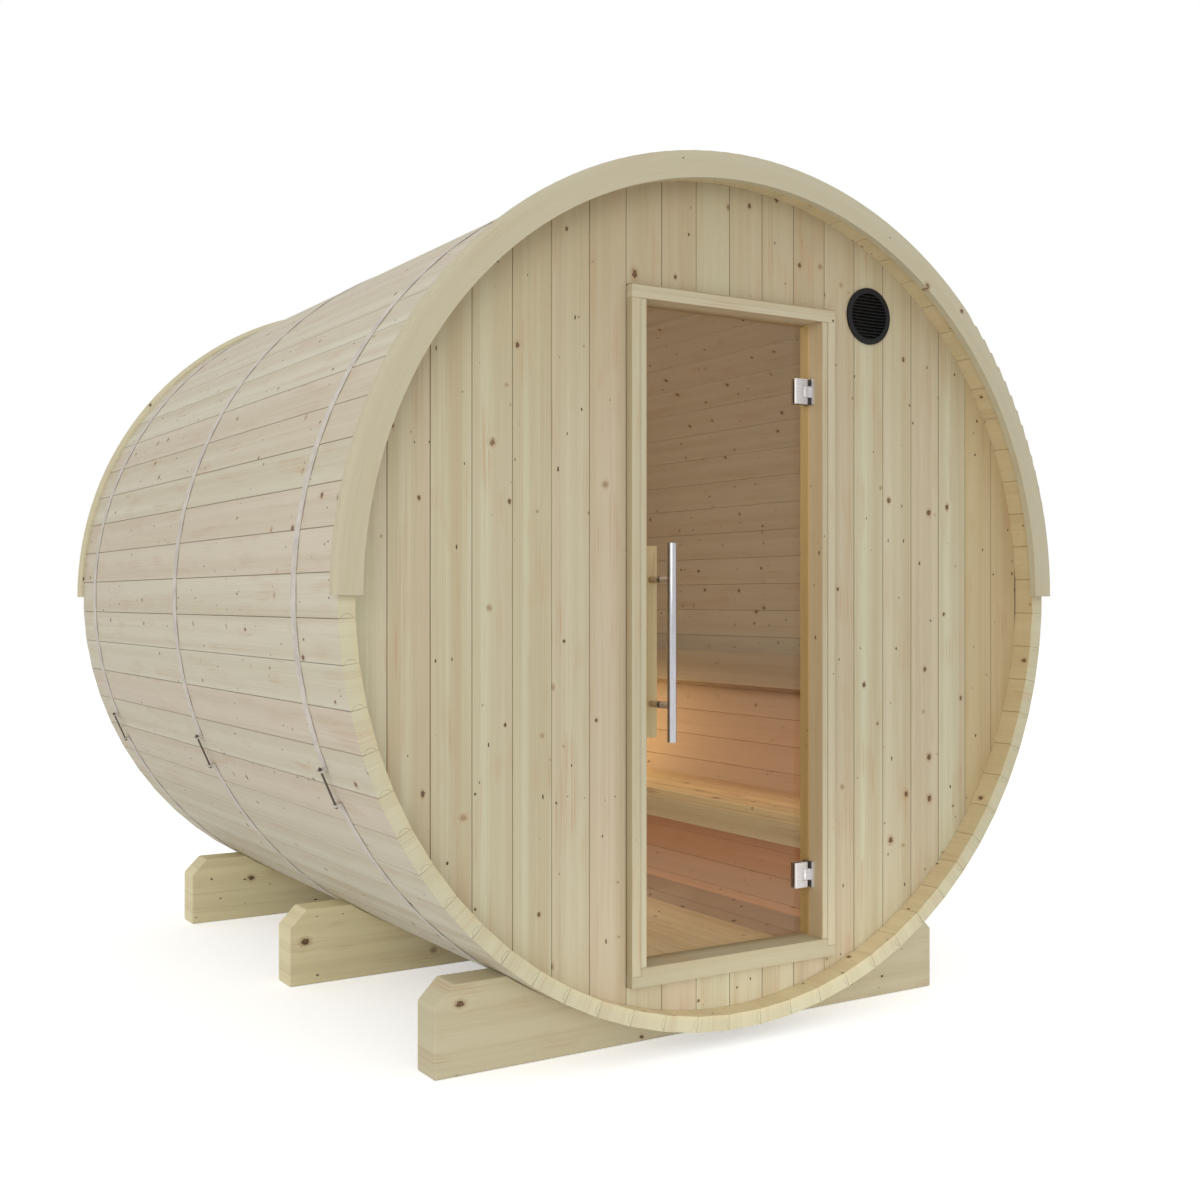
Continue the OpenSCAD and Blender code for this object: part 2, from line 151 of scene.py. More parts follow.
def close_finish(shader):
    """Puts a shader on the finish that it belongs to."""
    output = shader.tree.nodes.new("ShaderNodeOutputMaterial")
    shader.tree.links.new(shader.socket, output.inputs["Surface"])


def knots(length, across, board, cell, radii, stretches):
    """Knots scattered over the boards, one to a cell at most: the distance from the middle of the
    nearest one in its own radii, the distance across from it, and three lots that it has drawn."""
    board_shift = 5.37
    ragged_scale = 170
    u = length / cell[0]
    v = across / cell[1] + board * board_shift
    spot = u.vector(v)
    inputs = {"Vector": spot, "Scale": 1.0}
    seat = spot.node("TexVoronoi", {"voronoi_dimensions": "2D"}, inputs, output="Position")
    seat_u, seat_v, _ = seat.axes()
    lots = seat.also("Color").axes()
    off_l = (u - seat_u) * cell[0]
    off_w = (v - seat_v) * cell[1]
    radius = radii[0] + (radii[1] - radii[0]) * lots[1] * lots[1]
    stretch = stretches[0] + (stretches[1] - stretches[0]) * lots[2]
    ragged = (length * ragged_scale).vector(across * ragged_scale).noise(0.0) - 0.5
    return (off_l / stretch).length(off_w) / radius + ragged * 0.9, off_w, lots


def spruce(name, lay, cream, tan, rosy, knotty, branch=(0.0028, 0.0082), figure=1.0, seam=0.7, toned=None):
    """Planed, unfinished spruce. lay turns a place into metres along, across and into a board, the
    board's number, so that each is cut from a place of its own in the log, and the distance to a joint.
    knotty is the share of places that hold a knot, or gives it for a place, branch is the least and
    greatest radius of a knot, figure the strength of the grain, and toned gives the parts of the piece
    that have another tone, as masks and colours."""
    late_wood = tint(160, 136, 98)
    pale_wood = tint(222, 216, 190)
    halo_brown = tint(172, 140, 102)
    knot_rim = tint(66, 46, 32)
    knot_heart = tint(118, 86, 60)
    pin_brown = tint(62, 44, 30)
    resin = tint(184, 140, 102)
    joint_brown = tint(104, 88, 60)
    joint_w = (0.0016, 0.0007)
    log_l = 31
    ring_w = 0.0046
    branch_cell = (0.13, 0.066)
    pin_cell = (0.085, 0.047)
    pin_radii = (0.0011, 0.0024)

    material, at = new_finish(name)
    along, across, depth, board, joint = lay(*at.axes())
    lots = at.node("TexWhiteNoise", {"noise_dimensions": "1D"}, {"W": board}, output="Color")
    first, second, third = lots.axes()
    length = along + first * log_l

    # Whole branches, then pin knots
    often = knotty(along, depth) if callable(knotty) else knotty
    reach, off_w, (luck, size, kind) = knots(length, across, board, branch_cell, branch, (0.8, 1.5))
    here = luck.below(often)
    dark = kind.rise(0.30, 0.45)
    core = (1 - reach.rise(0.75, 1.25)) * here
    heart = (1 - reach.rise(0.25, 0.95)) * size.rise(0.3, 0.5)
    ring = (1 - reach.rise(0.9, 2.6)) * here
    swerve = (1 - reach.rise(0.5, 5.0)) * here
    pin_reach, _, (pin_luck, _, pin_kind) = knots(
        length + 7, across, board, pin_cell, pin_radii, (1.0, 2.8))
    pin = (1 - pin_reach.rise(0.7, 1.3)) * pin_luck.below(often * 0.6)

    # Growth rings round a heart that lies somewhere behind the board, pushed aside by the knots
    wander = (length * 0.6).vector(across * 6, board).noise(1.0) * 0.012
    side = across - off_w * swerve * 0.85
    rings = (side - (second - 0.5) * 0.09).length(depth + 0.03 + third * 0.08) + wander
    phase = rings.sum("FRACT", (rings + length * (third - 0.5) * 0.006) / ring_w)
    late = phase.rise(0.25, 0.93) * (1 - phase.rise(0.93, 1.0))

    # Broad bands of heartwood and sapwood, fine lines in sheaves, fibres, and lines flushed with resin
    bands = (length * 0.25).vector(side * 24, board * 3.1).noise(2.0).rise(0.36, 0.68)
    patch = (length * 0.5).vector(side * 9, board * 1.7 + 4).noise(0.0).rise(0.45, 0.75)
    sheaf = (length * 1.1).vector(side * 30, board * 4.3 + 2).noise(1.0).rise(0.42, 0.66)
    lines = (length * 1.6).vector(side * 250, board * 6.1).noise(1.0)
    fibre = (length * 8).vector(across * 520).noise(1.0)
    flush = (length * 5).vector(side * 22, board * 2.3 + 9).noise(1.0).rise(0.54, 0.72)
    red_lines = (length * 4).vector(side * 320, board * 5.9 + 3).noise(1.0).rise(0.50, 0.64)

    ground = third.blend(cream, rosy)
    ground = (bands * (0.25 + 0.65 * second) * figure).blend(ground, tan)
    ground = (patch * 0.45).blend(ground, rosy)
    if toned:
        for share, colour in toned(along, across, depth, board):
            ground = share.blend(ground, colour)
    ground = (bands * 0.12 * figure).blend(ground, late_wood)
    ground = (late * 0.06 * figure * (0.4 + bands)).blend(ground, late_wood)
    ground = (lines.rise(0.52, 0.66) * sheaf * 0.15 * figure).blend(ground, late_wood)
    ground = (lines.rise(0.48, 0.34) * sheaf * 0.08).blend(ground, pale_wood)
    ground = (fibre.rise(0.42, 0.75) * 0.10).blend(ground, late_wood)
    ground = (flush * (0.08 + red_lines * 0.34) * figure).blend(ground, resin)
    ground = (ring * (0.12 + 0.5 * size)).blend(ground, halo_brown)
    ground = (core * (0.28 + 0.67 * dark)).blend(ground, heart.blend(knot_rim, knot_heart))
    ground = (pin * (0.35 + 0.6 * pin_kind.rise(0.35, 0.5))).blend(ground, pin_brown)
    if joint:
        ground = (joint.rise(*joint_w) * seam * (0.35 + 0.65 * second)).blend(ground, joint_brown)

    skin = {
        "Base Color": ground,
        "Roughness": 0.5 + fibre * 0.25,
        "Normal": at.node("Bump", {}, {"Height": fibre, "Strength": 0.15, "Distance": 0.0008}),
        "Specular IOR Level": 0.3,
    }
    close_finish(at.node("BsdfPrincipled", {}, skin))
    return material


def dress(names, material):
    """Gives solids of the frame a finish."""
    for name in names:
        nodes[name].data.materials.clear()
        nodes[name].data.materials.append(material)


def ease(names, width):
    """Rounds the sharp edges of solids of the frame, as a plane or a sander does."""
    for name in names:
        weld = nodes[name].modifiers.new("one_skin", "WELD")
        weld.merge_threshold = 1e-5
        bevel = nodes[name].modifiers.new("eased", "BEVEL")
        bevel.width = width
        bevel.segments = 2
        bevel.limit_method = "ANGLE"
        bevel.angle_limit = math.radians(40)
        bevel.harden_normals = True


def cradle_lay(x, y, z):
    """Numbers the cradles by the half metre of the length in which they stand."""
    number = (y * 2 + 10.5).floor()
    return x, z - cradle_mid, y - (number - 10) / 2, number, None


def cradle_rear_light(along, across, depth, board):
    """The middle and back cradles, drawn paler, a painted light over the barrel's shade."""
    # painted light: the rear cradles made paler to offset the shade under the barrel
    return [(board.rise(front_cradle + 0.5, front_cradle + 1.5) * 0.85, tint(240, 229, 186))]


cradle_low, cradle_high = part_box("cradle_front")
cradle_mid = (cradle_low.z + cradle_high.z) / 2
cradle_tones = {"cream": tint(213, 209, 178), "tan": tint(199, 189, 152), "rosy": tint(207, 197, 166)}
dress(CRADLES, spruce("cradle_spruce", cradle_lay, knotty=0.25, toned=cradle_rear_light, **cradle_tones))
ease(CRADLES, cradle_ease)


# Staves: 68 straight spruce boards in a ring, each with a round bead on one edge that turns
# in the hollow of its neighbour. They are planed with chamfered edges and left bare.
STAVES = [f"staves_{side}" for side in (
    "top", "upper_right", "right", "lower_right", "bottom", "lower_left", "left", "upper_left")]
stave_count = 68
stave_step = math.tau / stave_count
stave_t = 0.038
inner_tight = 0.0008
inner_depth = (0.020, 0.034)
sawn_t = 0.001
foot_stave = stave_count // 2
low_staves = (20, 31)
stave_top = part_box("staves_top")[1].z
stave_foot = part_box("staves_bottom")[0].z
axis_z = (stave_top + stave_foot) / 2
barrel_r = (stave_top - stave_foot) / 2
stave_w = stave_step * barrel_r


def stave_lay(x, y, z):
    up = z - axis_z
    angle = x.sum("ARCTAN2", x, up)
    number = (angle / stave_step + 0.5).floor()
    across = (angle - number * stave_step) * barrel_r
    board = number.sum("WRAP", number, stave_count, 0)
    depth = barrel_r - x.length(up)
    return y, across, depth, board, stave_w / 2 - abs(across) + depth.rise(*inner_depth) * inner_tight


def stave_inside(along, across, depth, board):
    """The inner faces, browned in the room; redder under the backrest, a painted warm shade; yellower on
    the rim, painted warm bounce light and shade, and paler at its foot where it faces up, painted light;
    and the pale sawn ends."""
    inner = depth.rise(*inner_depth)
    sawn = abs(along).rise(stave_end - 2 * sawn_t, stave_end - sawn_t)
    rim = abs(along).rise(rim_y - 0.001, rim_y)
    low = board.rise(low_staves[0] - 0.6, low_staves[0] - 0.4) * board.below(low_staves[1] + 0.5)
    foot = board.rise(foot_stave - 9, foot_stave - 5) * board.rise(foot_stave + 9, foot_stave + 5)
    return [
        (inner * (1 - rim) * 0.7, tint(206, 187, 163)),
        # painted shade: the staves under the backrest redder and darker, for the warm shade there
        (inner * (1 - rim) * low * 0.6, tint(198, 154, 122)),
        # painted light: the rim yellower for light bounced from the wall, and paler at its foot where it
        # faces up
        (inner * rim * 0.7, tint(208, 186, 134)),
        (inner * rim * foot * 0.6, tint(236, 220, 178)),
        (sawn * 0.75, tint(208, 202, 168)),
    ]


def stave_knotty(along, depth):
    """The inner faces, cut nearer to the heart of the log, hold more knots, and the sawn ends none."""
    return (0.34 + depth.rise(*inner_depth) * 0.24) * abs(along).below(stave_end - 2 * sawn_t)


rim_y = -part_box("front_wall_left")[0].y
stave_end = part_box("staves_top")[1].y
stave_tones = {"cream": tint(208, 204, 182), "tan": tint(197, 186, 160), "rosy": tint(206, 194, 174)}
stave_knots = {"knotty": stave_knotty, "branch": (0.0018, 0.0056)}
stave_finish = {"figure": 0.8, "seam": 0.65, "toned": stave_inside}
stave_spruce = spruce("stave_spruce", stave_lay, **stave_finish, **stave_knots, **stave_tones)
dress(STAVES, stave_spruce)


# Straps: three galvanised steel bands that draw the staves together, each with both ends
# bent out into lugs. A threaded rod with a nut outside each lug pulls the ends towards each other.
STRAPS = ("strap_front", "strap_middle", "strap_back")


def metal(name, colour, rough, uneven, scale, metallic=1.0, toned=None):
    """Bare metal whose gloss varies in patches or in lines, by the scale along each axis. toned gives
    the parts of the piece that have another tone, as masks and colours."""
    material, at = new_finish(name)
    x, y, z = at.axes()
    patches = (x * scale[0]).vector(y * scale[1], z * scale[2]).noise(3.0)
    ground = patches.rise(0.3, 0.7).blend(tint(*colour), tint(*[value * 0.91 for value in colour]))
    if toned:
        for share, shade in toned(x, y, z):
            ground = share.blend(ground, shade)
    skin = {
        "Base Color": ground,
        "Metallic": metallic,
        "Roughness": rough + (patches - 0.5) * uneven,
        "Normal": at.node("Bump", {}, {"Height": patches, "Strength": 0.05, "Distance": 0.0004}),
    }
    close_finish(at.node("BsdfPrincipled", {}, skin))
    return material


band_look = {"colour": (208, 200, 189), "rough": 0.65, "uneven": 0.1, "scale": (30, 30, 30), "metallic": 0.2}
rod_look = {"colour": (104, 98, 90), "rough": 0.5, "uneven": 0.3, "scale": (200, 200, 900)}
dress(STRAPS, metal("galvanised_band", **band_look))
dress(["strap_screws"], metal("dark_rod", **rod_look))


# End walls: spruce boards on end, tongued and grooved, with a small chamfer along each joint.
# They stand in a groove turned across the staves. The front wall is cut out for the door frame
# and bored for the vent.
board_pitch = 0.1016
board_gap = 0.0005
board_chamfer = 0.0012
tongue_l = 0.009
tongue_t = 0.010
front_board = 50
light_lift_board = front_board + 3
end_board = front_board + 8
arch_shade_z = (1.25, 2.05)
wall_low, wall_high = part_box("front_wall_left")
wall_r = -wall_low.x
wall_front = wall_low.y
wall_t = wall_high.y - wall_low.y


def joined(name, boards):
    """One mesh of straight boards, each given by the loops of points at its two ends."""
    shape = bmesh.new()
    for low, high in boards:
        first = [shape.verts.new(point) for point in low]
        last = [shape.verts.new(point) for point in high]
        shape.faces.new(first)
        shape.faces.new(last)
        for i, corner in enumerate(first):
            shape.faces.new((first[i - 1], corner, last[i], last[i - 1]))
    bmesh.ops.recalc_face_normals(shape, faces=shape.faces)
    mesh = bpy.data.meshes.new(name)
    shape.to_mesh(mesh)
    shape.free()
    piece = bpy.data.objects.new(name, mesh)
    bpy.context.scene.collection.objects.link(piece)
    return piece


def board_section(low, high, front, back):
    """A wall board seen from above, from low to high, with a tongue on its right edge. The points on
    its faces lie in even steps round the wall's edge."""
    turn = 1 if back > front else -1
    a = low + board_gap / 2
    b = high - board_gap / 2
    c = board_chamfer
    near = front + turn * (wall_t - tongue_t) / 2
    far = back - turn * (wall_t - tongue_t) / 2
    slack = turn * board_gap
    steps = 10
    first, last = [math.asin(x / wall_r) for x in (a + c, b - c)]
    angles = [first + (last - first) * i / steps for i in range(steps + 1)]
    face = [(wall_r * math.sin(angle), front) for angle in angles]
    right = [
        (b, front + turn * c), (b, near), (b + tongue_l, near),
        (b + tongue_l, far), (b, far), (b, back - turn * c)
    ]
    rear = [(x, back) for x, _ in reversed(face)]
    sunk = a + tongue_l + board_gap
    left = [
        (a, back - turn * c), (a, far + slack), (sunk, far + slack),
        (sunk, near - slack), (a, near - slack), (a, front + turn * c)
    ]
    return face + right + rear + left


def wall_boards(name, front, back):
    """A round wall of boards whose ends follow the wall's edge."""
    half = math.ceil(wall_r / board_pitch) - 1
    boards = []
    for i in range(-half, half):
        low = -wall_r if i == -half else i * board_pitch
        high = wall_r - tongue_l if i == half - 1 else (i + 1) * board_pitch
        section = board_section(low, high, front, back)
        rise = [math.sqrt(max(wall_r ** 2 - x ** 2, 1e-5)) for x, _ in section]
        boards.append([
            [(x, y, axis_z + side * h) for (x, y), h in zip(section, rise)] for side in (-1, 1)
        ])
    return joined(name, boards)


def cut(piece, cutter):
    """Takes the shape of a cutter out of a piece."""
    saw = piece.modifiers.new("cut", "BOOLEAN")
    saw.object = cutter
    saw.solver = "EXACT"
    cutter.hide_render = True
    whole = piece.evaluated_get(bpy.context.evaluated_depsgraph_get())
    mesh = bpy.data.meshes.new_from_object(whole)
    piece.modifiers.clear()
    piece.data = mesh
    bpy.data.objects.remove(cutter)


def wall_lay(x, y, z):
    number = (x / board_pitch).floor()
    across = x - (number + 0.5) * board_pitch
    return z, across, -wall_front - abs(y), number + y.below(0) * front_board, board_pitch / 2 - abs(across)


def place(piece, body, stands_for, material):
    """Puts a piece on its body, with its finish, in place of the solids that it stands for."""
    piece.data.materials.clear()
    piece.data.materials.append(material)
    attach(piece, body)
    if stands_for:
        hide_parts(*stands_for)


frame_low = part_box("door_sill")[0]
frame_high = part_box("door_head")[1]
vent_low, vent_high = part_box("vent_grille")
vent_mid = (vent_low + vent_high) / 2
door_slack = 0.0015
vent_rim = 0.012
vent_hole_r = (vent_high.x - vent_low.x) / 2 - vent_rim
hole_steps = 64
cut_reach = 0.1


def wall_side(along, across, depth, board):
    """The upper ends of the boards, browner, a painted shade under the arch; the boards at the right of
    the door, paler, a painted light where the light falls off; and the short ones at the end, yellower
    and darker, painted shade and warm bounce light from the rim."""
    return [
        # painted shade under the arch, painted light on the right-hand boards, painted shade and bounce
        # light at the end
        (along.rise(*arch_shade_z) * 0.5, tint(174, 156, 118)),
        (board.rise(light_lift_board - 0.6, light_lift_board + 0.6) * 0.1, tint(224, 220, 190)),
        (board.rise(end_board - 0.6, end_board - 0.4) * 0.65, tint(192, 166, 116)),
    ]


wall_tones = {"cream": tint(204, 200, 170), "tan": tint(192, 177, 144), "rosy": tint(202, 186, 160)}
wall_finish = {"knotty": 0.33, "branch": (0.0024, 0.0066), "seam": 0.85, "toned": wall_side}
wall_spruce = spruce("wall_spruce", wall_lay, **wall_finish, **wall_tones)
front_wall = wall_boards("front_wall_boards", wall_front, wall_front + wall_t)
door_left = frame_low.x - door_slack
door_right = frame_high.x + door_slack
door_foot = frame_low.z - door_slack
door_top = frame_high.z + door_slack
doorway = [(door_left, door_foot), (door_right, door_foot), (door_right, door_top), (door_left, door_top)]
turns = [math.tau * i / hole_steps for i in range(hole_steps)]
bore = [(vent_mid.x + vent_hole_r * math.cos(a), vent_mid.z + vent_hole_r * math.sin(a)) for a in turns]
cut_ys = (wall_front - cut_reach, wall_front + wall_t + cut_reach)
cut(front_wall, joined("openings", [
    [[(x, y, z) for x, z in outline] for y in cut_ys] for outline in (doorway, bore)
]))
place(front_wall, "cabin",
      ["front_wall_left", "front_wall_right", "front_wall_over_door", "front_wall_under_door"], wall_spruce)
back_low, back_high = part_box("back_wall")
back_wall = wall_boards("back_wall_boards", back_high.y, back_low.y)
place(back_wall, "cabin", ["back_wall"], wall_spruce)


# Door frame: four spruce timbers, paler and straighter in the grain than the boards, which stand
# a little in front of the wall. Each jamb is an outer strip on the end of the sill and, just
# behind its face, an inner strip that closes the gap round the glass.
frame_ease = 0.0012
casing_w = 0.025
strip_w = 0.017
shadow_line_w = 0.004
jamb_board = 3
head_board = 8
head_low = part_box("door_head")[0].z
glass_low, glass_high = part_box("door_glass")
door_mid = (frame_low + frame_high) / 2
casing_mid = (frame_high.x - frame_low.x - casing_w) / 2
clear_tones = {"cream": tint(203, 199, 170), "tan": tint(193, 182, 149), "rosy": tint(200, 189, 161)}
# painted shade for the reveals, painted warm room light behind the glass, and a painted shadow colour for
# edge lines
reveal_shade_tan = tint(187, 150, 98)
room_light_yellow = tint(232, 198, 128)
shadow_olive = tint(142, 126, 76)


def jamb_lay(x, y, z):
    """Measured round the arris, so that a knot is as round on the side of a jamb as on its front."""
    off = abs(x - door_mid.x) - casing_mid
    depth = y - frame_low.y
    inner = off.below(-casing_w / 2)
    return z, off - depth, depth, x.below(door_mid.x) + 2 * inner + jamb_board, abs(off + casing_w / 2)


def jamb_reveal(along, across, depth, board):
    """The face towards the glass, darker and warmer than the front, a painted shade, and yellow where it
    lies in the room, painted warm room light; and the outer side, darkened olive, a painted shadow line.
    """
    off = across + depth
    face = off.below(frame_ease - casing_w / 2 - strip_w)
    room = depth.rise(glass_low.y - frame_low.y, glass_high.y - frame_low.y)
    side = off.rise(casing_w / 2 - frame_ease, casing_w / 2)
    # painted shade on the reveal, painted room light behind the glass, painted shadow line on the outer side
    return [(face * 0.5, reveal_shade_tan), (face * room * 0.7, room_light_yellow), (side * 0.3, shadow_olive)]


def rail_lay(x, y, z):
    return x, z - door_mid.z, y - frame_low.y, z.below(door_mid.z) + head_board, None


def head_reveal(along, across, depth, board):
    """The underside of the head, darker and warmer, a painted shade; a painted shadow line along its upper
    edge; and the sill, which is browner.
    """
    low = head_low - door_mid.z
    top = frame_high.z - door_mid.z
    under = across.rise(low - frame_ease, low) * across.rise(low + frame_ease, low)
    edge = across.rise(top - shadow_line_w, top - shadow_line_w / 2)
    sill = board.rise(head_board + 0.4, head_board + 0.6)
    # painted shade under the head and a painted shadow line along its top edge
    return [(under * 0.3, reveal_shade_tan), (edge * 0.7, shadow_olive), (sill * 0.5, tint(170, 158, 128))]


jamb_knots = {"knotty": 0.22, "branch": (0.0012, 0.0032)}
jamb_spruce = spruce("jamb_spruce", jamb_lay, seam=0.45, toned=jamb_reveal, **jamb_knots, **clear_tones)
rail_spruce = spruce("rail_spruce", rail_lay, knotty=0.05, toned=head_reveal, **clear_tones)
dress(["door_jamb_left", "door_jamb_right"], jamb_spruce)
dress(["door_head", "door_sill"], rail_spruce)
ease(["door_jamb_left", "door_jamb_right", "door_head", "door_sill"], frame_ease)


# Vent: a round grille with tilted louvres, moulded from black plastic.
# A collar at its back holds it in the bore of the front wall. Its skin is matt, with a fine grain
# from the mould.
def moulded(name, colour, rough):
    """Matt plastic with the grain of its mould."""
    fine = 900
    material, at = new_finish(name)
    x, y, z = at.axes()
    grain = (x * fine).vector(y * fine, z * fine).noise(2.0)
    skin = {
        "Base Color": grain.blend(tint(*colour), tint(*[value * 1.3 for value in colour])),
        "Roughness": rough + grain * 0.2,
        "Normal": at.node("Bump", {}, {"Height": grain, "Strength": 0.2, "Distance": 0.0003}),
        "Specular IOR Level": 0.2,
    }
    close_finish(at.node("BsdfPrincipled", {}, skin))
    return material


vent_black = moulded("black_plastic", (20, 19, 19), 0.4)
dress(["vent_grille"], vent_black)


# Fly screen: fine black plastic threads across the bore, upright ones before level ones.
# It keeps insects out of the room and is clipped in behind the louvres of the vent.
screen_pitch = 0.0014
screen_wire = 0.0007
screen_slack = 0.004
screen_r = vent_hole_r - screen_slack
screen_y = wall_front + wall_t / 2


def screen_wires():
    """The two ends of each wire, first the upright ones and then, behind them, the level ones."""
    half = screen_wire / 2
    corners = ((-half, -half), (half, -half), (half, half), (-half, half))
    count = math.floor(screen_r / screen_pitch)
    wires = []
    for i in range(-count, count + 1):
        off = i * screen_pitch
        reach = math.sqrt(screen_r ** 2 - off ** 2)
        wires.append([
            [(vent_mid.x + off + a, screen_y + b, vent_mid.z + end) for a, b in corners]
            for end in (-reach, reach)
        ])
        wires.append([
            [(vent_mid.x + end, screen_y + screen_wire + b, vent_mid.z + off + a) for a, b in corners]
            for end in (-reach, reach)
        ])
    return wires


place(joined("vent_screen", screen_wires()), "cabin", [], vent_black)


# Floor and bench: planed spruce boards that run the length of the room, with small gaps
# and rounded edges, cut at the sides to the round of the staves.
plank_gap = 0.003
plank_round = 0.003
plank_slack = 0.0003
first_plank = 20
inside_r = barrel_r - stave_t - plank_slack


def planks(name, node, count):
    """Boards side by side in the place of a slab, along Y, within the round of the staves."""
    low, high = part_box(node)
    left = low.x
    right = high.x
    width = (right - left) / count
    boards = []
    for i in range(count):
        a = left + i * width + plank_gap / 2
        b = left + (i + 1) * width - plank_gap / 2
        c = plank_round
        arris = c * 0.3
        section = [
            (a + c, high.z), (b - c, high.z), (b - arris, high.z - arris), (b, high.z - c),
            (b, low.z), (a, low.z), (a, high.z - c), (a + arris, high.z - arris)
        ]
        fitted = []
        for x, z in section:
            limit = math.sqrt(inside_r ** 2 - (z - axis_z) ** 2)
            fitted.append((max(-limit, min(limit, x)), z))
        boards.append([[(x, y, z) for x, z in fitted] for y in (low.y, high.y)])
    return joined(name, boards)


def plank_lay(start, width, top):
    """The lay of boards side by side, measured round the arris as on the jambs."""
    def lay(x, y, z):
        number = ((x - start) / width).floor()
        depth = top - z
        return y, x - start - (number + 0.5) * width - depth, depth, number + first_plank, None
    return lay


floor_tones = {"cream": tint(255, 238, 196), "tan": tint(246, 220, 174), "rosy": tint(250, 226, 184)}
seat_tones = {"cream": tint(216, 190, 154), "tan": tint(202, 164, 122), "rosy": tint(210, 174, 138)}
floor_low, floor_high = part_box("floor_boards")
floor_count = 8
floor_w = (floor_high.x - floor_low.x) / floor_count
floor = planks("floor_planks", "floor_boards", floor_count)
place(floor, "cabin", ["floor_boards"],
      spruce("floor_spruce", plank_lay(floor_low.x, floor_w, floor_high.z), knotty=0.3, **floor_tones))
seat_low, seat_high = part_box("bench_seat")
seat_count = 3
seat_w = (seat_high.x - seat_low.x) / seat_count
seat = planks("bench_slats", "bench_seat", seat_count)


def seat_front_highlight(along, across, depth, board):
    """The front of the bench, paler and yellower, a painted highlight."""
    back = across + depth + (board - (first_plank - 0.5)) * seat_w
    # painted highlight along the front of the bench
    return [(back.rise(highlight_w, highlight_w * 0.3), tint(255, 231, 180))]


highlight_w = 0.34
seat_lay = plank_lay(seat_low.x, seat_w, seat_high.z)
seat_spruce = spruce("bench_spruce", seat_lay, knotty=0.4, figure=1.7, toned=seat_front_highlight, **seat_tones)
place(seat, "cabin", ["bench_seat"], seat_spruce)


# Bench rail: a spruce board on edge under the front of the bench, paler than the seat.
# It runs the length of the room and carries the front edge of the slats.
rail_board = 41


def rail_board_lay(x, y, z):
    return y, z - seat_low.z, x - seat_low.x, rail_board, None


rail_tones = {"cream": tint(242, 226, 188), "tan": tint(228, 208, 164), "rosy": tint(234, 214, 176)}
dress(["bench_front"], spruce("bench_rail_spruce", rail_board_lay, knotty=0.3, **rail_tones))
ease(["bench_front"], frame_ease)


# Backrest: one long spruce board over the bench, browned by the heat and leant back a little.
# Blocks of the same wood hold it off the staves, and its edges are rounded for the back.
rest_board = 77
rest_tilt = math.radians(15)
rest_r = 0.959
rest_ease = 0.004


def rest_lay(x, y, z):
    up = z - axis_z
    tall = x * math.sin(rest_tilt) + up * math.cos(rest_tilt)
    return y, tall, x * math.cos(rest_tilt) - up * math.sin(rest_tilt) - rest_r, rest_board, None


rest_tones = {"cream": tint(188, 170, 144), "tan": tint(172, 150, 122), "rosy": tint(182, 160, 136)}
rest_spruce = spruce("backrest_spruce", rest_lay, knotty=0.3, **rest_tones)
dress(["backrest_board", "backrest_blocks"], rest_spruce)
ease(["backrest_board"], rest_ease)


# Door: one sheet of bronze glass without a frame, hung on two hinges of satin steel.
# The clamp half of each hinge grips the glass between two plates with pads, and the leaf half is
# fixed to the right jamb.
mirror_share = 0.4


def bronze_glass():
    """Clear, faintly brown glass that mirrors on its broad faces, more at a glance, and not on its edges."""
    material, at = new_finish("bronze_glass")
    through = at.node("BsdfTransparent", {}, {"Color": tint(246, 244, 240)})
    mirror = {"Base Color": tint(196, 184, 168), "Metallic": 1.0, "Roughness": 0.02}
    gloss = at.node("BsdfPrincipled", {}, mirror)
    facing = at.node("Fresnel", {}, {"IOR": 1.45})
    broad = abs(at.also("Normal").axes()[1]).rise(0.4, 0.6)
    shade = at.node("MixShader", {}, {0: facing * broad * mirror_share, 1: through, 2: gloss})
    close_finish(shade)
    return material


dress(["door_glass"], bronze_glass())
glass_mid = (glass_low + glass_high) / 2
hinge_ease = 0.0008


def clamp_tones(x, y, z):
    """The inner plates' bedding faces and free edges, darkened brown, a painted shade behind the glass, and
    the free edge of the outer plates, near white, a painted highlight.
    """
    behind = y.rise(glass_mid.y, glass_high.y)
    free_edge = x.below(clamp_low.x + 2 * hinge_ease)
    bed = y.below(glass_high.y + hinge_ease)
    return [
        # painted shade on the inner plates and a painted highlight on the outer plates' free edge
        (behind * behind.sum("MAXIMUM", bed, free_edge), tint(132, 110, 86)),
        (free_edge * y.below(glass_low.y), tint(252, 250, 250)),
    ]


def leaf_tones(x, y, z):
    """The sides of a leaf over and under its knuckle, darkened, a painted shade in the gap."""
    off = abs(abs(z - hinge_mid) - hinge_half)
    beside = off.rise(knuckle_h / 2, knuckle_h / 2 + hinge_ease)
    behind_face = y.rise(leaf_low.y + 5 * hinge_ease, leaf_low.y + 7 * hinge_ease)
    # painted shade in the gaps beside the knuckle
    return [(beside * behind_face, tint(84, 80, 76))]


clamp_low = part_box("hinge_clamps")[0]
leaf_low, leaf_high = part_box("hinge_leaves")
hinge_h = 0.065
knuckle_h = 0.0286
hinge_mid = (leaf_low.z + leaf_high.z) / 2
hinge_half = (leaf_high.z - leaf_low.z - hinge_h) / 2
satin = {"colour": (222, 219, 221), "rough": 0.42, "uneven": 0.12, "scale": (40, 40, 900), "metallic": 0.4}
dress(["hinge_leaves"], metal("leaf_steel", toned=leaf_tones, **satin))
dress(["hinge_clamps"], metal("clamp_steel", toned=clamp_tones, **satin))
ease(["hinge_leaves", "hinge_clamps"], hinge_ease)


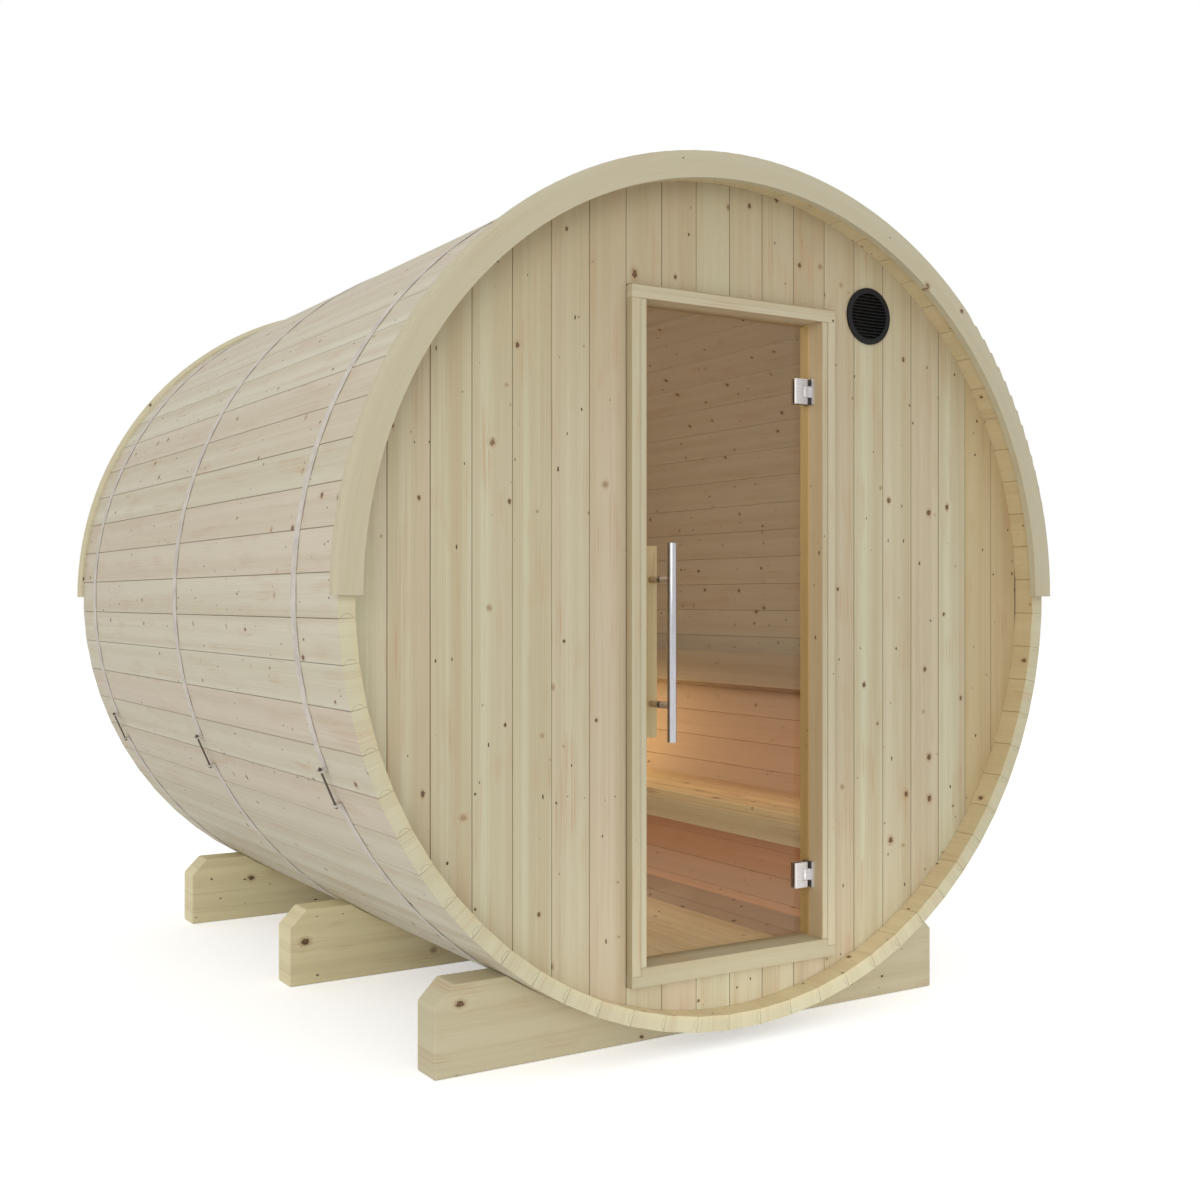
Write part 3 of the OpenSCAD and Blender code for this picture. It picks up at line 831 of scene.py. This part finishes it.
# Handles: a polished steel tube on two posts outside, and a wooden bar on two posts inside, both drawn pale,
# a painted light where the room is in shade.
# The posts meet through two holes in the glass and are drawn together, with a dark washer on the
# outside to spare the glass.
washer_t = 0.007
bar_board = 91


def post_tones(x, y, z):
    """The dark washer between an outer post and the glass."""
    washer = y.rise(glass_low.y - washer_t, glass_low.y - washer_t + hinge_ease)
    return [(washer * y.below(glass_mid.y), tint(52, 44, 38))]


tube_look = {"colour": (192, 191, 195), "rough": 0.12, "uneven": 0.08, "scale": (900, 900, 30)}
post_look = {"uneven": 0.1, "scale": (90, 90, 90)}
outer_post_look = {"colour": (190, 170, 150), "rough": 0.3, "metallic": 0.3, "toned": post_tones}
# painted light: pale tan in place of the dark room that the steel would mirror here
inner_post_look = {"colour": (214, 196, 160), "rough": 0.5, "metallic": 0.1}
dress(["handle_tube"], metal("polished_tube", **tube_look))
dress(["handle_posts"], metal("post_steel", **post_look, **outer_post_look))
dress(["inner_handle_posts"], metal("inner_post_steel", **post_look, **inner_post_look))
bar_low, bar_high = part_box("inner_handle_bar")


def bar_lay(x, y, z):
    return z, x - (bar_low.x + bar_high.x) / 2, y - bar_low.y, bar_board, None


# painted light: the bar drawn near white to make up for the little light that reaches it through the glass
lit_bar_tones = {"cream": tint(254, 240, 196), "tan": tint(246, 228, 178), "rosy": tint(250, 230, 184)}
dress(["inner_handle_bar"], spruce("bar_spruce", bar_lay, knotty=0.05, **lit_bar_tones))


# Arch trims: a half ring of clear spruce on the ends of the staves, front and back,
# with the grain along the arc and the outer edge rounded over.
arch_board = 60


def arch_lay(x, y, z):
    up = z - axis_z
    along = x.sum("ARCTAN2", x, up) * barrel_r
    return along, x.length(up) - barrel_r, abs(y) - stave_end, y.below(0) + arch_board, None


def back_arch_light(along, across, depth, board):
    """The trim at the back, drawn paler, a painted light over the shade of the staves."""
    # painted light on the back trim
    return [(board.below(arch_board + 0.5) * 0.7, tint(230, 223, 192))]


arch_tones = {"cream": tint(196, 192, 163), "tan": tint(186, 176, 145), "rosy": tint(196, 186, 160)}
arch_spruce = spruce("arch_spruce", arch_lay, knotty=0.05, figure=0.45, toned=back_arch_light, **arch_tones)
dress(["front_arch_trim", "back_arch_trim"], arch_spruce)


# Studio: a white floor and sky, one broad soft lamp at the left of the front, and a low one before the
# door that lights the sill. In the room two warm lamps light the bench, stronger at the back, two more
# the staves under it, and a wide one under the roof the rest.
white = (1.0, 1.0, 1.0, 1.0)
black = (0.0, 0.0, 0.0, 1.0)
sky_level = 0.80
ground_size = 30.0
ground_t = 0.02
ground_drop = 0.0005
ground_pale = (0.88, 0.88, 0.88, 1.0)
ground_glow = 0.45


def seen_rays(tree):
    """1 for rays that come straight from the eye, or by a mirror or glass, and 0 for the rest."""
    tree.nodes.clear()
    eye = Strand(tree).node("LightPath", {}, {}, output="Is Camera Ray")
    mirror = eye.also("Is Glossy Ray")
    glass = eye.also("Is Transmission Ray")
    return eye.sum("MAXIMUM", eye, mirror.sum("MAXIMUM", mirror, glass))


sky = bpy.data.worlds.new("studio")
bpy.context.scene.world = sky
sky.use_nodes = True
seen = seen_rays(sky.node_tree)
light = seen.node("Background", {}, {"Color": white, "Strength": sky_level})
shown = seen.node("Background", {}, {"Color": white, "Strength": 1.0})
glow = seen.node("MixShader", {}, {0: seen, 1: light, 2: shown})
sky_out = sky.node_tree.nodes.new("ShaderNodeOutputWorld")
sky.node_tree.links.new(glow.socket, sky_out.inputs["Surface"])

ground_sides = [(-1, -1), (1, -1), (1, 1), (-1, 1)]
ground = joined("ground", [[
    [(x * ground_size, y * ground_size, z) for x, y in ground_sides] for z in (-ground_t, -ground_drop)
]])
ground_paint = bpy.data.materials.new("ground_white")
ground_paint.use_nodes = True
seen = seen_rays(ground_paint.node_tree)
close_finish(seen.node("BsdfPrincipled", {}, {
    "Base Color": ground_pale, "Roughness": 1.0, "Specular IOR Level": 0.0,
    "Emission Color": seen.blend(black, white), "Emission Strength": ground_glow,
}))
ground_paint.cycles.emission_sampling = "NONE"
ground.data.materials.append(ground_paint)


def lamp(name, size, power, colour, spot, aim, spread=180):
    """A flat lamp of a size in metres and a power in watts, at a spot and turned to what it lights."""
    light = bpy.data.lights.new(name, "AREA")
    light.spread = math.radians(spread)
    light.shape = "RECTANGLE"
    light.size = size[0]
    light.size_y = size[1]
    light.energy = power
    light.color = colour
    made = bpy.data.objects.new(name, light)
    bpy.context.scene.collection.objects.link(made)
    made.location = spot
    made.visible_camera = False
    made.rotation_euler = (Vector(aim) - Vector(spot)).to_track_quat("-Z", "Y").to_euler()


lamp("soft_box", (4.0, 3.0), 87.0, (1.0, 1.0, 1.0), (-4.5, -5.5, 2.6), (0.0, 0.0, 1.0))
lamp("foot_lamp", (1.0, 0.1), 0.66, (1.0, 0.98, 0.92), (0.15, -2.1, 0.08), (0.12, -1.1, 0.16), 70)
lamp("bench_lamp", (1.7, 0.22), 0.75, (1.0, 0.44, 0.13), (0.62, 0.0, 0.765), (0.74, 0.0, 0.47))
lamp("corner_lamp", (0.5, 0.22), 1.3, (1.0, 0.86, 0.46), (0.64, 0.68, 0.765), (0.74, 0.62, 0.47))
lamp("low_lamp", (1.9, 0.10), 0.40, (1.0, 0.66, 0.44), (0.56, 0.0, 0.36), (0.70, 0.0, 0.15))
lamp("floor_lamp", (1.9, 0.06), 0.2, (1.0, 0.50, 0.30), (0.46, 0.0, 0.20), (0.74, 0.0, 0.30))
lamp("room_lamp", (1.8, 0.9), 8.2, (0.94, 0.96, 0.96), (-0.35, 0.0, 1.75), (0.4, 0.0, 0.45))

eye = bpy.data.cameras.new("eye")
eye.lens = 43.59
eye.sensor_width = 36.0
viewpoint = bpy.data.objects.new("eye", eye)
bpy.context.scene.collection.objects.link(viewpoint)
viewpoint.location = (-2.17298, -3.95616, 1.0790)
viewpoint.rotation_euler = (math.radians(90), 0.0, math.radians(-31.98))
bpy.context.scene.camera = viewpoint
bpy.context.scene.view_settings.view_transform = "Standard"
